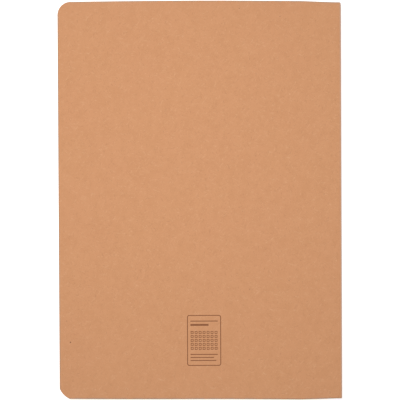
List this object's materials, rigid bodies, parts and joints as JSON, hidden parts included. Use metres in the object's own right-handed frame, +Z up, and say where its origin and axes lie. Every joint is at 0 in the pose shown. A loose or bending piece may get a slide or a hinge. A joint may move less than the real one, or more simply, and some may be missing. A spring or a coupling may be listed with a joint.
{
  "type": "planner",
  "caption": "Thin A5 planner: a folded plain kraft card cover round nested sheets, held through the fold by wire stitches. Covers and leaves turn about the fold.",
  "frame": {"origin": "middle of the planner's outline, on the outer face of the front cover that it lies on", "axes": "+X towards the folded spine, +Y towards the head, +Z up through the sheets to the back cover"},
  "size_m": [0.1492, 0.21, 0.0061],
  "materials": {
    "kraft_card": "matte, unbleached fibre card",
    "paper": "matte, uncoated writing paper",
    "steel_wire": "drawn wire"
  },
  "bodies": {
    "front_cover": {"cover_front": "kraft_card", "cover_spine": "kraft_card"},
    "front_leaves_outer": {"sheet_01_front": "paper", "sheet_02_front": "paper", "sheet_03_front": "paper", "sheet_04_front": "paper", "sheet_05_front": "paper", "sheet_06_front": "paper", "sheet_07_front": "paper", "sheet_08_front": "paper", "sheet_01_fold": "paper", "sheet_02_fold": "paper", "sheet_03_fold": "paper", "sheet_04_fold": "paper", "sheet_05_fold": "paper", "sheet_06_fold": "paper", "sheet_07_fold": "paper", "sheet_08_fold": "paper"},
    "front_leaves_inner": {"sheet_09_front": "paper", "sheet_10_front": "paper", "sheet_11_front": "paper", "sheet_12_front": "paper", "sheet_13_front": "paper", "sheet_14_front": "paper", "sheet_15_front": "paper", "sheet_16_front": "paper", "sheet_09_fold": "paper", "sheet_10_fold": "paper", "sheet_11_fold": "paper", "sheet_12_fold": "paper", "sheet_13_fold": "paper", "sheet_14_fold": "paper", "sheet_15_fold": "paper", "sheet_16_fold": "paper", "stitch_head": "steel_wire", "stitch_tail": "steel_wire"},
    "back_leaves_inner": {"sheet_16_back": "paper", "sheet_15_back": "paper", "sheet_14_back": "paper", "sheet_13_back": "paper", "sheet_12_back": "paper", "sheet_11_back": "paper", "sheet_10_back": "paper", "sheet_09_back": "paper"},
    "back_leaves_outer": {"sheet_08_back": "paper", "sheet_07_back": "paper", "sheet_06_back": "paper", "sheet_05_back": "paper", "sheet_04_back": "paper", "sheet_03_back": "paper", "sheet_02_back": "paper", "sheet_01_back": "paper"},
    "back_cover": {"cover_back": "kraft_card"}
  },
  "joints": [
    {"name": "open_front_cover", "type": "hinge", "parent": "front_cover", "child": "front_leaves_outer", "pos_m": [0.07152, 0, 0.00303], "axis": [0, 1, 0], "range_deg": [0, 180]},
    {"name": "open_front_half", "type": "hinge", "parent": "front_leaves_outer", "child": "front_leaves_inner", "pos_m": [0.07152, 0, 0.00303], "axis": [0, 1, 0], "range_deg": [0, 180]},
    {"name": "open_at_centre", "type": "hinge", "parent": "front_leaves_inner", "child": "back_leaves_inner", "pos_m": [0.07152, 0, 0.00303], "axis": [0, 1, 0], "range_deg": [0, 180], "deforming": ["sheet_09_fold", "sheet_10_fold", "sheet_11_fold", "sheet_12_fold", "sheet_13_fold", "sheet_14_fold", "sheet_15_fold", "sheet_16_fold"]},
    {"name": "open_back_half", "type": "hinge", "parent": "back_leaves_inner", "child": "back_leaves_outer", "pos_m": [0.07152, 0, 0.00303], "axis": [0, 1, 0], "range_deg": [0, 180], "deforming": ["sheet_01_fold", "sheet_02_fold", "sheet_03_fold", "sheet_04_fold", "sheet_05_fold", "sheet_06_fold", "sheet_07_fold", "sheet_08_fold"]},
    {"name": "open_back_cover", "type": "hinge", "parent": "back_leaves_outer", "child": "back_cover", "pos_m": [0.07152, 0, 0.00303], "axis": [0, 1, 0], "range_deg": [0, 180], "deforming": ["cover_spine"]}
  ]
}
